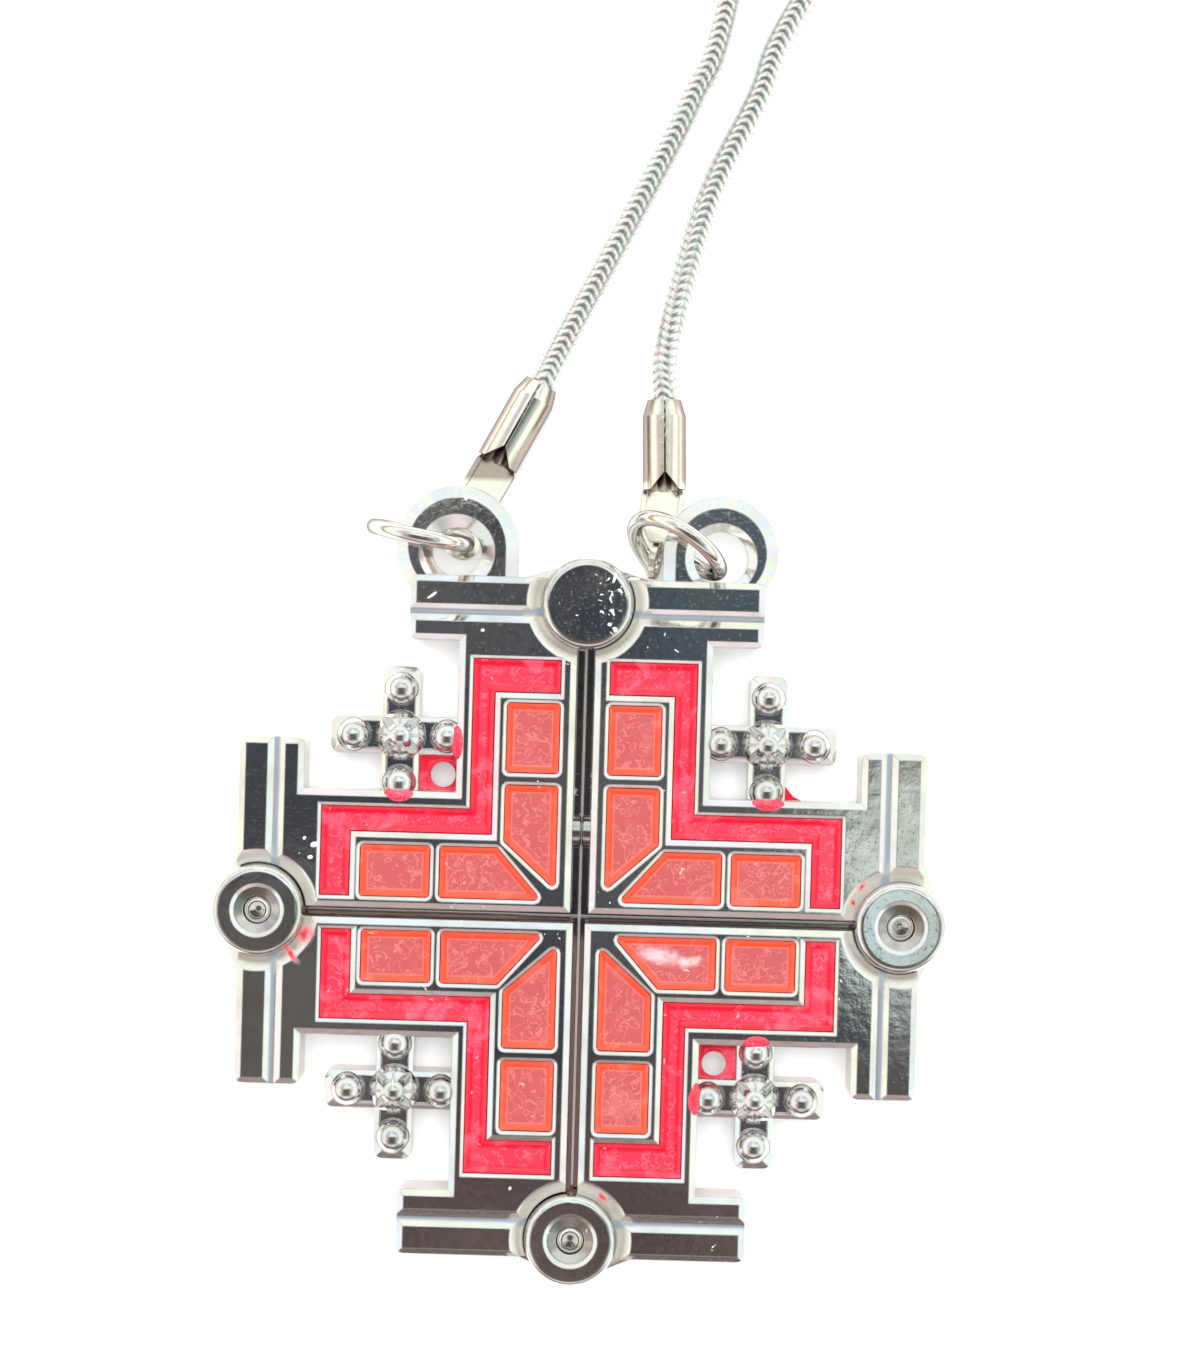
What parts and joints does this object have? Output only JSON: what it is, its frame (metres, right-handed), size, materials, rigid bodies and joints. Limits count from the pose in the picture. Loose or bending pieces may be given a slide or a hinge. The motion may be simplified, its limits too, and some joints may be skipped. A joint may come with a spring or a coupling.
{
  "type": "jerusalem cross pendant",
  "caption": "Folding cross pendant in plated metal and red enamel, with a small cross in each corner, on a round snake chain.",
  "frame": {"origin": "middle of the cross, on the plane of its back", "axes": "+X to the right arm, +Y to the top arm and the chain, +Z out of the enamelled front"},
  "size_m": [0.1195, 0.2368, 0.0061],
  "materials": {
    "plated_casting": "bright plated zinc casting, polished, lightly scratched",
    "red_enamel": "glossy crimson soft enamel with a raised edge",
    "window_enamel": "glossy translucent orange-red enamel, greyer in the middle, with specks",
    "rivet_metal": "bright plated steel, flared end",
    "magnet_metal": "nickel-plated magnet",
    "finding_metal": "bright plated wire and strip",
    "chain_metal": "bright plated snake chain of close V-shaped scales"
  },
  "bodies": {
    "root": {"quarter_top_left": "plated_casting", "quarter_top_right": "plated_casting", "quarter_bottom_left": "plated_casting", "quarter_bottom_right": "plated_casting", "band_enamel_top_left": "red_enamel", "band_enamel_top_right": "red_enamel", "band_enamel_bottom_left": "red_enamel", "band_enamel_bottom_right": "red_enamel", "window_enamel_top_left_column_outer": "window_enamel", "window_enamel_top_left_column_inner": "window_enamel", "window_enamel_top_left_row_outer": "window_enamel", "window_enamel_top_left_row_inner": "window_enamel", "window_enamel_top_right_column_outer": "window_enamel", "window_enamel_top_right_column_inner": "window_enamel", "window_enamel_top_right_row_outer": "window_enamel", "window_enamel_top_right_row_inner": "window_enamel", "window_enamel_bottom_left_column_outer": "window_enamel", "window_enamel_bottom_left_column_inner": "window_enamel", "window_enamel_bottom_left_row_outer": "window_enamel", "window_enamel_bottom_left_row_inner": "window_enamel", "window_enamel_bottom_right_column_outer": "window_enamel", "window_enamel_bottom_right_column_inner": "window_enamel", "window_enamel_bottom_right_row_outer": "window_enamel", "window_enamel_bottom_right_row_inner": "window_enamel", "rivet_left": "rivet_metal", "rivet_right": "rivet_metal", "rivet_bottom": "rivet_metal", "catch_magnet_left": "magnet_metal", "catch_magnet_right": "magnet_metal", "enamel_film_top_left": "red_enamel", "enamel_film_bottom_right": "red_enamel", "enamel_spill_top_right": "red_enamel", "jump_ring_left": "finding_metal", "jump_ring_right": "finding_metal", "end_cap_left": "finding_metal", "end_cap_right": "finding_metal", "chain_left": "chain_metal", "chain_right": "chain_metal", "clasp": "finding_metal"}
  },
  "joints": []
}
